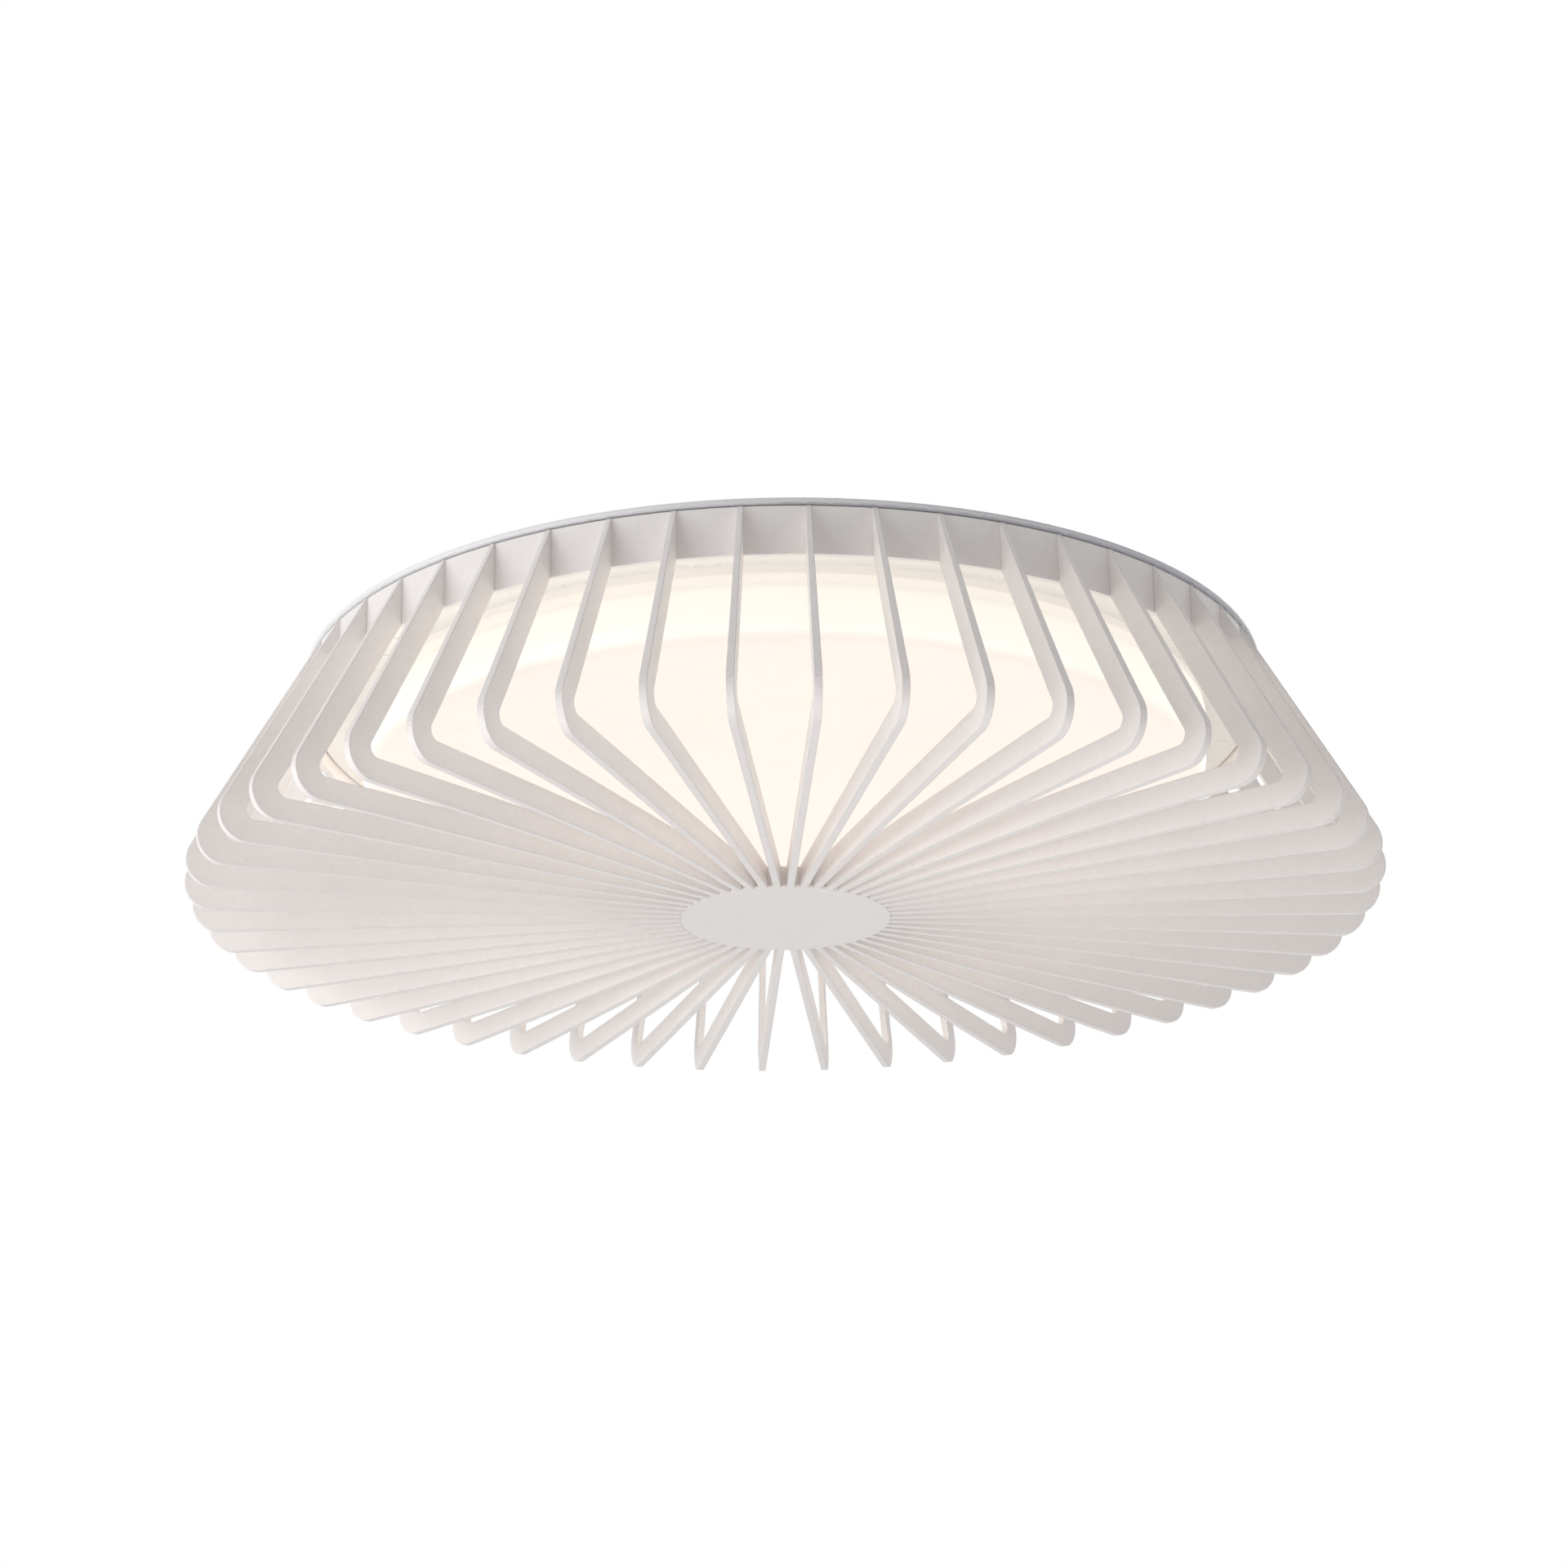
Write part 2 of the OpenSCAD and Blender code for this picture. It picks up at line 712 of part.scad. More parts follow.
module standoffs() {
    color(white)
        at(pcb_hole_points, pcb_top)
            difference() {
                union() {
                    cylinder(d = standoff_d, h = standoff_h);
                    cylinder(d = m3 - 2 * seat_gap, h = standoff_h + sheet_t);
                }
                translate([0, 0, -1]) cylinder(d = m3 - 0.8, h = standoff_h);
            }
}

module driver_board() {
    color("#2f6f4a")
        difference() {
            translate([-pcb_len / 2, pcb_y - pcb_w / 2, pcb_under]) cube([pcb_len, pcb_w, pcb_t]);
            at(pcb_hole_points, pcb_under - 1) cylinder(d = m3, h = pcb_t + 2);
        }
}

module driver_screws() {
    color(steel) at(pcb_hole_points, pcb_under) screw(m3 - 0.8, pcb_t + 2.2, m3_head_d, m3_head_h);
}

// Transformer: a ferrite frame round a wound bobbin
module transformer() {
    winding_r = min(transformer_h / 2, transformer_w / 2 - core_t) - 0.5;
    winding_len = transformer_len - 2 * core_t + 2 * weld;
    translate([transformer_x, pcb_y, pcb_under - transformer_h]) {
        color("#3b3c3f")
            difference() {
                translate([-transformer_len / 2, -transformer_w / 2, 0])
                    cube([transformer_len, transformer_w, transformer_h]);
                translate([-transformer_len / 2 + core_t, -transformer_w / 2 + core_t, -1])
                    cube([transformer_len - 2 * core_t, transformer_w - 2 * core_t, transformer_h + 2]);
            }
        color("#d9b54a")
            translate([-winding_len / 2, 0, transformer_h / 2])
                rotate([0, 90, 0])
                    cylinder(r = winding_r, h = winding_len);
    }
}

module capacitors() {
    color("#2b3a6b")
        for (x = capacitor_x)
            translate([x - capacitor_len / 2, pcb_y, pcb_under - capacitor_d / 2])
                rotate([0, 90, 0])
                    difference() {
                        cylinder(d = capacitor_d, h = capacitor_len);
                        translate([0, 0, 1]) capacitor_groove();
                    }
}

module capacitor_groove() {
    groove_depth = 0.3;
    difference() {
        cylinder(d = capacitor_d + 1, h = 0.8);
        cylinder(d = capacitor_d - 2 * groove_depth, h = 0.8);
    }
}

module choke() {
    color("#b5652b")
        translate([choke_x, pcb_y, pcb_under - choke_h])
            rotate_extrude()
                translate([choke_hole_d / 2, 0])
                    square([(choke_d - choke_hole_d) / 2, choke_h]);
}

// Push-in connectors at the driver's two ends: mains in at the right, light board at the left
module driver_connectors() {
    color(white) {
        difference() {
            translate([-pcb_len / 2 + 0.5, pcb_y - connector_w / 2, pcb_under - connector_h])
                cube([connector_len, connector_w, connector_h]);
            for (y = output_y)
                translate([-pcb_len / 2 - 1, y, output_z])
                    rotate([0, 90, 0])
                        cylinder(r = wire_r + seat_gap, h = connector_depth + 1);
        }
        difference() {
            translate([mains_x - connector_w / 2, mains_end_y, pcb_under - connector_h])
                cube([connector_w, connector_len, connector_h]);
            for (side = [-1, 1])
                translate([mains_x + side * output_pitch / 2, mains_end_y + connector_len + 1, output_z])
                    rotate([90, 0, 0])
                        cylinder(r = wire_r + seat_gap, h = connector_depth + 1);
        }
    }
}

// Live and neutral, from the block's outer poles to the driver
module mains_wires() {
    for (side = [-1, 1]) {
        bend_y = mains_start_y - (4 - side) * wire_lead;
        end_x = mains_x + side * output_pitch / 2;
        color(side < 0 ? "#7a4a2c" : "#3768b0")
            wire([
                [side * pole_pitch, mains_start_y + wire_hold, clamp_z],
                [side * pole_pitch, mains_start_y - wire_lead - 1, clamp_z],
                [side * pole_pitch, bend_y, output_z - wire_d],
                [end_x, bend_y - wire_lead, output_z],
                [end_x, mains_end_y + connector_len - connector_depth + 1, output_z]
            ]);
    }
}

// Red and black, from the driver to the light board
module output_wires() {
    for (i = [0, 1])
        color(i == 0 ? "#c23a33" : "#2c2c2e")
            wire([
                [output_start_x + connector_depth - 0.5, output_y[i], output_z],
                [output_start_x - 2 * wire_lead - 2, output_y[i], output_z],
                [output_end_x + 3 * wire_lead + 1, output_y[i], board_plug_z],
                [output_end_x - wire_hold, output_y[i], board_plug_z]
            ]);
}

// Cover over the driver and the terminals: a round cap with two ears and a notch for the wires
module gear_cover() {
    color(white)
        difference() {
            union() {
                translate([0, 0, cover_bottom]) cylinder(r = cover_r, h = cover_reach);
                at(cover_screw_points, floor_under - cover_ear_t) cylinder(d = cover_ear_w, h = cover_ear_t);
            }
            translate([0, 0, cover_bottom + cover_wall]) cylinder(r = cover_r - cover_wall, h = cover_reach);
            at(cover_screw_points, floor_under - cover_ear_t - 1)
                cylinder(d = m3 + 2 * hole_gap, h = cover_ear_t + 2);
            translate([-cover_r - 1, pcb_y - wire_notch_w / 2, floor_under - wire_notch_h])
                cube([cover_r / 3, wire_notch_w, wire_notch_h + 1]);
        }
}

module cover_screws() {
    color(steel)
        at(cover_screw_points, floor_under - cover_ear_t)
            screw(m3, cover_ear_t + sheet_t + 1, m3_head_d, m3_head_h);
}

module light_board() {
    color("#f4f4f2")
        difference() {
            translate([0, 0, board_under]) cylinder(r = board_r, h = board_t, $fn = 180);
            translate([0, 0, board_under - 1]) cylinder(r = board_inner_r, h = board_t + 2, $fn = 180);
            at(board_screw_points, board_under - 1) cylinder(d = m3 + 2 * hole_gap, h = board_t + 2);
        }
}

module light_chips() {
    color("#f5e07a")
        at(light_points, board_under - chip_h)
            translate([-chip_w / 2, -chip_w / 2, 0])
                cube([chip_w, chip_w, chip_h]);
}

// Lenses: a low dome over each light point, hollow underneath
module lenses() {
    dome_r = (pow(lens_d / 2, 2) + pow(lens_h, 2)) / (2 * lens_h);
    well_r = chip_w * 0.9;
    color("#e6f0f5")
        at(light_points, board_under)
            difference() {
                intersection() {
                    translate([0, 0, dome_r - lens_h]) sphere(r = dome_r);
                    translate([0, 0, -lens_h]) cylinder(d = lens_d + 1, h = lens_h);
                }
                translate([0, 0, -chip_h - 1]) cylinder(r = well_r, h = chip_h + 2);
            }
}

module board_connector() {
    color(white)
        difference() {
            translate([board_plug_x - board_plug_len / 2, pcb_y - connector_w / 2, board_under - board_plug_h])
                cube([board_plug_len, connector_w, board_plug_h]);
            for (y = output_y)
                translate([board_plug_x, y, board_plug_z])
                    rotate([0, 90, 0])
                        cylinder(r = wire_r + seat_gap, h = board_plug_len);
        }
}

module board_screws() {
    color(steel)
        at(board_screw_points, board_under)
            screw(m3, board_t + sheet_t + 1, m3_head_d, m3_head_h);
}

// Ring that carries the diffuser: flange, outer skirt, neck, and the catches and stops round it
module diffuser_ring() {
    color(white)
        difference() {
            union() {
                rotate_extrude($fn = 180) {
                    translate([ring_flange_r, floor_under - ring_flange_t])
                        square([diffuser_r - ring_flange_r, ring_flange_t]);
                    translate([diffuser_r - ring_wall, ring_bottom])
                        square([ring_wall, ring_h]);
                    translate([neck_inner_r, neck_bottom])
                        square([neck_wall, floor_under - neck_bottom]);
                }
                for (i = [0:catch_count - 1]) {
                    mid = i * catch_step;
                    ring_arc(mid, catch_width, neck_r - weld, catch_r, catch_bottom, catch_top);
                    for (stop_mid = [mid - stop_offset, mid + diffuser_turn + stop_offset])
                        ring_arc(stop_mid, stop_width, neck_r - weld, stop_r, stop_bottom, tab_top);
                }
            }
            at(ring_screw_points, floor_under - ring_flange_t - 1)
                cylinder(d = m3 + 2 * hole_gap, h = ring_flange_t + 2);
        }
}

module ring_screws() {
    color(steel)
        at(ring_screw_points, floor_under - ring_flange_t)
            screw(m3, ring_flange_t + sheet_t + 1, m3_head_d, m3_head_h);
}

// Diffuser: an opal drum with a rounded lower edge, a low lip and the tabs that hang on the ring
module diffuser() {
    color(warm_white) {
        rotate_extrude($fn = 180)
            difference() {
                union() {
                    drum_outline(diffuser_r, diffuser_bottom, diffuser_edge_r);
                    translate([0, diffuser_top - lip_h]) square([diffuser_r + lip_out, lip_h]);
                }
                drum_outline(diffuser_inner_r, diffuser_bottom + diffuser_wall, diffuser_edge_r - diffuser_wall);
                translate([0, diffuser_top - weld]) square([diffuser_inner_r, 2 * weld]);
            }
        for (i = [0:catch_count - 1])
            ring_arc(i * catch_step, tab_width, neck_r + run_gap, diffuser_inner_r + weld, tab_bottom, tab_top);
    }
}

// Half section of a drum that is open at the top, with a rounded lower edge
module drum_outline(r, low, edge_r) {
    translate([0, low]) square([r - edge_r, diffuser_top - low]);
    translate([0, low + edge_r]) square([r, diffuser_top - low - edge_r]);
    translate([r - edge_r, low + edge_r])
        intersection() {
            circle(r = edge_r);
            translate([0, -edge_r]) square([edge_r, 2 * edge_r]);
        }
}

// Band at the top of the cage, with the hooks that reach through the pan's skirt
module band() {
    hook_end_r = skirt_r - sheet_t - hook_reach;
    color(white) {
        rotate_extrude($fn = 180)
            translate([band_inner_r, band_bottom])
                square([band_wall, band_h]);
        for (i = [0:hook_count - 1])
            ring_arc(hook_start + i * hook_step, hook_width, hook_end_r, band_inner_r + weld,
                hook_bottom, hook_top);
    }
}

// Everything inside the rib's outer edge, as radius and height
module field_inside_outer_edge() {
    polygon([
        leg_top,
        corner + up_leg * shoulder_reach,
        shoulder_centre,
        corner + to_hub * shoulder_reach,
        [hub_r, hub_bottom],
        [hub_wall_r - weld, hub_bottom],
        [hub_wall_r - weld, cage_top]
    ]);
    translate(shoulder_centre) circle(r = shoulder_r);
}

// Everything inside the rib's inner edge
module field_inside_inner_edge() {
    polygon([
        [band_r - weld, cage_top + 1],
        [band_r - weld, band_bottom + weld / tan(leg_slope)],
        inner_corner + up_leg * inner_reach,
        inner_centre,
        inner_corner + to_hub * inner_reach,
        [hub_wall_r - 2 * weld, hub_bottom + spoke_h],
        [hub_wall_r - 2 * weld, cage_top + 1]
    ]);
    translate(inner_centre) circle(r = shoulder_inner_r);
}

module rib_outline() {
    difference() {
        field_inside_outer_edge();
        field_inside_inner_edge();
    }
}

function upper_rib_t(z) = rib_top_t + (rib_t - rib_top_t) * (cage_top - z) / (cage_top - joint_z);

// One upper half: it thins towards the band's top edge
module upper_rib() {
    above = cage_top + 2;
    below = joint_z - 2;
    intersection() {
        rotate([90, 0, 0])
            linear_extrude(2 * rib_t, center = true)
                intersection() {
                    rib_outline();
                    translate([0, joint_z]) square([2 * widest_r, cage_h]);
                }
        rotate([90, 0, 90])
            linear_extrude(2 * widest_r)
                polygon([
                    [-upper_rib_t(above) / 2, above],
                    [-upper_rib_t(below) / 2, below],
                    [upper_rib_t(below) / 2, below],
                    [upper_rib_t(above) / 2, above]
                ]);
    }
}

module upper_ribs() {
    color(white)
        difference() {
            for (i = [0:rib_count - 1])
                rotate([0, 0, rib_turn - 90 + i * 360 / rib_count])
                    difference() {
                        upper_rib();
                        translate([peg_r, 0, joint_z - 1])
                            cylinder(d = peg_d + 2 * seat_gap, h = peg_len + 1 + run_gap, $fn = 24);
                    }
            translate([0, 0, band_bottom - 2]) cylinder(r = band_r, h = band_h + 4, $fn = 180);
        }
}

// One lower half: shoulder, run to the hub and the peg that enters the upper half
module lower_rib() {
    rotate([90, 0, 0])
        linear_extrude(rib_t, center = true)
            intersection() {
                rib_outline();
                translate([0, cage_bottom - 1]) square([2 * widest_r, joint_h + 1]);
            }
    translate([peg_r, 0, joint_z - weld]) cylinder(d = peg_d, h = peg_len + weld, $fn = 24);
}

module lower_ribs() {
    color(white)
        difference() {
            for (i = [0:rib_count - 1])
                rotate([0, 0, rib_turn - 90 + i * 360 / rib_count])
                    lower_rib();
            translate([0, 0, hub_bottom - 1]) cylinder(r = hub_wall_r, h = spoke_h + 2);
            translate([0, 0, hub_bottom - 1]) cylinder(r = hub_r, h = hub_disc_t + 1);
        }
}

// Hub: a shallow cup, open at the top, whose disc stands out past its wall
module hub() {
    color(white)
        rotate_extrude() {
            translate([0, hub_bottom]) square([hub_r, hub_disc_t]);
            translate([0, hub_bottom]) square([hub_wall_r, hub_wall]);
            translate([hub_wall_r - hub_wall, hub_bottom]) square([hub_wall, spoke_h]);
        }
}

crossbar();
pan_screws();
pan();
rim_seal();
cable_grommet();
terminal_block();
terminal_clamps();
terminal_screws();
terminal_fixing_screws();
earth_stud();
earth_lug();
earth_nut();
earth_wire();
standoffs();
driver_board();
driver_screws();
transformer();
capacitors();
choke();
driver_connectors();
mains_wires();
output_wires();
gear_cover();
cover_screws();
light_board();
light_chips();
lenses();
board_connector();
board_screws();
diffuser_ring();
ring_screws();
diffuser();
band();
upper_ribs();
lower_ribs();
hub();
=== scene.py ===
import json
import math

import bpy
from mathutils import Matrix, Vector


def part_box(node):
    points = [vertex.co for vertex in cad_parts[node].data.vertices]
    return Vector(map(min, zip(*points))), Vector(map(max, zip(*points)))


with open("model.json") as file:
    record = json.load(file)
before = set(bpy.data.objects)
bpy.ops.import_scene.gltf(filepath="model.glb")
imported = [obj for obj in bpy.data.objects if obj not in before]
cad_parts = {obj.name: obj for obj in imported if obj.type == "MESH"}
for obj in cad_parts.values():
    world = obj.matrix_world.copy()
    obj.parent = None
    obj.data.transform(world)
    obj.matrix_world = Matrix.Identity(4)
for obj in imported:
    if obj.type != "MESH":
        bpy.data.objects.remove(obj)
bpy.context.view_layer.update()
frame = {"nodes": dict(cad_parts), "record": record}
nodes = frame["nodes"]
scene = bpy.context.scene

# Heights and radii from the frame, in metres, which the colours and lamps follow
seam_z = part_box("upper_ribs")[0].z
pan_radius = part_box("pan")[1].x
drum_low, drum_high = (corner.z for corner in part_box("diffuser"))
drum_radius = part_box("diffuser")[1].x

WHITE = (1.0, 1.0, 1.0, 1.0)
BLACK = (0.0, 0.0, 0.0, 1.0)

# Numbers of the Mix node's sockets, because several of them share a name
FACTOR, VECTOR_A, VECTOR_B, COLOUR_A, COLOUR_B = 0, 4, 5, 6, 7
VECTOR_RESULT, COLOUR_RESULT = 1, 2


def colour(r, g, b):
    """A colour written as 0 to 255 display values, in linear values."""
    def linear(v):
        v /= 255
        return v / 12.92 if v <= 0.04045 else ((v + 0.055) / 1.055) ** 2.4
    return (linear(r), linear(g), linear(b), 1.0)


def shade(tone, factor):
    """A linear colour made darker or paler by a factor, and no paler than white."""
    return tuple(min(1.0, v * factor) for v in tone[:3]) + (1.0,)


class Shader:
    """A Principled material whose colour, roughness and relief are built from nodes."""

    def __init__(self, name):
        self.name = name
        self.material = bpy.data.materials.new(name)
        self.material.use_nodes = True
        self.tree = self.material.node_tree
        self.main = self.tree.nodes["Principled BSDF"]
        self.spot = self.add("ShaderNodeTexCoord")
        self.place = self.spot.outputs["Object"]

    def add(self, kind, **values):
        """A new node with these settings."""
        node = self.tree.nodes.new(kind)
        for key, value in values.items():
            setattr(node, key, value)
        return node

    def feed(self, value, socket):
        """Links another node's output to the socket, or writes a constant on it."""
        if isinstance(value, bpy.types.NodeSocket):
            self.tree.links.new(value, socket)
        else:
            socket.default_value = value

    def set(self, **values):
        """Feeds the Principled node's sockets, with _ for the spaces in their names."""
        for key, value in values.items():
            self.feed(value, self.main.inputs[key.replace("_", " ")])

    def axis(self, name):
        """The place along X, Y or Z, in metres."""
        parts = self.add("ShaderNodeSeparateXYZ")
        self.feed(self.place, parts.inputs[0])
        return parts.outputs[name]

    def noise(self, size, detail=3.0, stretch=(1, 1, 1), rough=0.5):
        """Noise whose lumps are about size metres across."""
        scaled = self.add("ShaderNodeMapping")
        scaled.inputs["Scale"].default_value = stretch
        self.feed(self.place, scaled.inputs["Vector"])
        noise = self.add("ShaderNodeTexNoise")
        noise.inputs["Scale"].default_value = 1 / size
        noise.inputs["Detail"].default_value = detail
        noise.inputs["Roughness"].default_value = rough
        self.feed(scaled.outputs["Vector"], noise.inputs["Vector"])
        return noise.outputs["Fac"]

    def spread(self, value, low, high, start=0.3, end=0.7):
        """Low up to the value start, high from the value end. Noise lies mostly from 0.3 to 0.7."""
        node = self.add("ShaderNodeMapRange")
        node.inputs["From Min"].default_value = start
        node.inputs["From Max"].default_value = end
        node.inputs["To Min"].default_value = low
        node.inputs["To Max"].default_value = high
        self.feed(value, node.inputs["Value"])
        return node.outputs["Result"]

    def patches(self, size, **shape):
        """Noise from 0 to 1, to mix two colours by."""
        return self.spread(self.noise(size, **shape), 0.0, 1.0)

    def mix(self, factor, a, b):
        """Colour a where the factor is 0, and b where it is 1."""
        node = self.add("ShaderNodeMix", data_type="RGBA")
        self.feed(factor, node.inputs[FACTOR])
        self.feed(a, node.inputs[COLOUR_A])
        self.feed(b, node.inputs[COLOUR_B])
        return node.outputs[COLOUR_RESULT]

    def math(self, operation, a, b=0.0):
        node = self.add("ShaderNodeMath", operation=operation)
        self.feed(a, node.inputs[0])
        self.feed(b, node.inputs[1])
        return node.outputs[0]

    def vector(self, operation, a, b=(0, 0, 0), result="Vector"):
        node = self.add("ShaderNodeVectorMath", operation=operation)
        self.feed(a, node.inputs[0])
        self.feed(b, node.inputs[1])
        return node.outputs[result]

    def ramp(self, value, stops):
        """Colours at given positions from 0 to 1."""
        node = self.add("ShaderNodeValToRGB")
        self.feed(value, node.inputs[0])
        band = node.color_ramp.elements
        while len(band) < len(stops):
            band.new(1.0)
        for element, (position, tone) in zip(band, stops):
            element.position = position
            element.color = tone + (1.0,)
        return node.outputs[0]

    def bump(self, height, strength, distance, normal=None):
        """Relief on the Principled node, on top of a normal if one is given."""
        node = self.add("ShaderNodeBump")
        node.inputs["Strength"].default_value = strength
        node.inputs["Distance"].default_value = distance
        self.feed(height, node.inputs["Height"])
        if normal:
            self.feed(normal, node.inputs["Normal"])
        self.set(Normal=node.outputs["Normal"])

    def true_normal(self):
        return self.add("ShaderNodeNewGeometry").outputs["Normal"]

    def rounded_normal(self, radius):
        """The normal of a surface whose edges are rounded by this radius."""
        bevel = self.add("ShaderNodeBevel", samples=4)
        bevel.inputs["Radius"].default_value = radius
        return bevel.outputs["Normal"]

    def edges(self, radius):
        """Near 1 along edges and 0 on flat faces."""
        on_edge, on_face = 0.75, 0.98
        same = self.vector(
            "DOT_PRODUCT", self.rounded_normal(radius), self.true_normal(), result="Value",
        )
        return self.spread(same, 1.0, 0.0, on_edge, on_face)


def moulded(s, base, grain):
    """Moulded plastic's colour, with faint clouds, fine grain and mottles, and the grain for its relief."""
    cloud_size, cloud_shade, mottle_size, mottle_depth = 0.02, 0.97, 0.0035, 0.035
    darker = shade(base, cloud_shade)
    clouds = s.mix(s.patches(cloud_size), base, darker)
    fine = s.noise(grain, detail=4.0, rough=0.65)
    body = s.mix(s.spread(fine, 0.0, 0.5), clouds, darker)
    return s.mix(s.patches(mottle_size, rough=0.7), body, s.mix(mottle_depth, body, BLACK)), fine


def mould_surface(s, body, fine, roughness, relief, normal=None):
    """Moulded plastic's soft sheen, with uneven roughness and the grain in relief."""
    patch_size, glossier, duller, grain_strength = 0.006, 0.06, 0.08, 0.35
    uneven = s.spread(s.noise(patch_size, detail=4.0), roughness - glossier, roughness + duller)
    s.set(Base_Color=body, Roughness=uneven, IOR=1.5)
    s.bump(fine, grain_strength, relief, normal)


def plastic(name, base, roughness, grain=0.0006, relief=0.00003):
    """Plain moulded plastic."""
    s = Shader(name)
    body, fine = moulded(s, base, grain)
    mould_surface(s, body, fine, roughness, relief)
    return s


def cage_plastic(name, base, roughness, grain=0.0006, relief=0.00003):
    """Moulded plastic with dark specks, edges paler as a painted highlight, soft corners and a dark line at
    the seam.
    """
    specks_per_metre, speck_core, speck_reach, speck_depth = 130, 0.03, 0.08, 0.5
    edge_highlight_width, round_radius, round_start, round_full = 0.0005, 0.0006, 0.6, 1.2
    line_core, line_reach, line_on_side, line_on_outside = 0.0001, 0.00022, 0.1, 0.5
    facing_side, facing_outside = 0.3, 0.6
    speck_tone, edge_highlight_tone, line_tone = shade(base, 0.75), shade(base, 1.06), shade(base, 0.62)
    s = Shader(name)
    body, fine = moulded(s, base, grain)

    dots = s.add("ShaderNodeTexVoronoi")
    dots.inputs["Scale"].default_value = specks_per_metre
    s.feed(s.place, dots.inputs["Vector"])
    specks = s.spread(dots.outputs["Distance"], speck_depth, 0.0, speck_core, speck_reach)
    body = s.mix(specks, body, speck_tone)
    # Paler edges are a painted highlight
    body = s.mix(s.edges(edge_highlight_width), body, edge_highlight_tone)

    # The seam's line is strong on the faces that look away from the middle, and faint on the ribs' sides
    from_seam = s.math("ABSOLUTE", s.math("SUBTRACT", s.axis("Z"), seam_z))
    outward = s.vector("NORMALIZE", s.place)
    facing = s.vector("DOT_PRODUCT", outward, s.spot.outputs["Normal"], result="Value")
    strength = s.spread(facing, line_on_side, line_on_outside, facing_side, facing_outside)
    line = s.math("MULTIPLY", s.spread(from_seam, 1.0, 0.0, line_core, line_reach), strength)
    body = s.mix(line, body, line_tone)

    # The corners aren't rounded at the seam, where the two halves meet flat
    soft = s.add("ShaderNodeMix", data_type="VECTOR")
    away = s.spread(from_seam, 0.0, 1.0, round_radius * round_start, round_radius * round_full)
    s.feed(away, soft.inputs[FACTOR])
    s.feed(s.true_normal(), soft.inputs[VECTOR_A])
    s.feed(s.rounded_normal(round_radius), soft.inputs[VECTOR_B])
    mould_surface(s, body, fine, roughness, relief, soft.outputs[VECTOR_RESULT])
    return s


def paint(name, base, roughness, rim_lit_and_shaded_tones=None):
    """Powder coat with orange peel a millimetre across. The pan's rolled rim has painted light and shade:
    paler at the left, darker at the right and below.
    """
    cloud_size, cloud_shade, patch_size, glossier, duller = 0.03, 0.97, 0.008, 0.05, 0.08
    peel_size, peel_strength, peel_depth = 0.0012, 0.06, 0.00003
    s = Shader(name)
    body = s.mix(s.patches(cloud_size), base, shade(base, cloud_shade))
    if rim_lit_and_shaded_tones:
        # Painted light and shade: the rim's lit tone at the left goes to its shaded tone at the right, and
        # painted shade darkens it below
        rim_width, rim_blur, rim_side = 0.0031, 0.0005, 0.16
        low_start, low_full, low_shade_depth, low_painted_shade_tone = -0.0010, -0.0016, 0.22, (0.32, 0.32, 0.36, 1.0)
        radius = s.vector("LENGTH", s.vector("MULTIPLY", s.place, (1, 1, 0)), result="Value")
        tone = s.mix(s.spread(s.axis("X"), 0.0, 1.0, -rim_side, rim_side), *rim_lit_and_shaded_tones)
        tone = s.mix(s.spread(s.axis("Z"), low_shade_depth, 0.0, low_full, low_start), tone, low_painted_shade_tone)
        rim_start = pan_radius - rim_width
        body = s.mix(s.spread(radius, 0.0, 1.0, rim_start, rim_start + rim_blur), body, tone)
    uneven = s.spread(s.noise(patch_size), roughness - glossier, roughness + duller)
    s.set(Base_Color=body, Roughness=uneven)
    s.bump(s.noise(peel_size, detail=2.0), peel_strength, peel_depth)
    return s


def metal(name, base, roughness, stretch=(1, 1, 1), grain=0.0008):
    """Plated or drawn metal: a clouded colour, and streaks or spangle in roughness and relief."""
    cloud_size, cloud_shade, glossier, duller = 0.006, 0.75, 0.1, 0.15
    streak_strength, streak_depth = 0.25, 0.00003
    s = Shader(name)
    streaks = s.noise(grain, detail=4.0, stretch=stretch)
    s.set(
        Base_Color=s.mix(s.patches(cloud_size), base, shade(base, cloud_shade)),
        Roughness=s.spread(streaks, roughness - glossier, roughness + duller),
        Metallic=1.0,
    )
    s.bump(streaks, streak_strength, streak_depth)
    return s


def rubber(name, base, roughness, grain=0.0005, relief=0.00012):
    """Rubber, foam or ferrite: fine cells in colour, roughness and relief."""
    cell_shade, cell_strength, glossier, duller = 1.5, 0.6, 0.1, 0.1
    s = Shader(name)
    cells = s.noise(grain, detail=5.0, rough=0.7)
    s.set(
        Base_Color=s.mix(s.spread(cells, 0.0, 1.0), base, shade(base, cell_shade)),
        Roughness=s.spread(cells, roughness - glossier, roughness + duller),
    )
    s.bump(cells, cell_strength, relief)
    return s


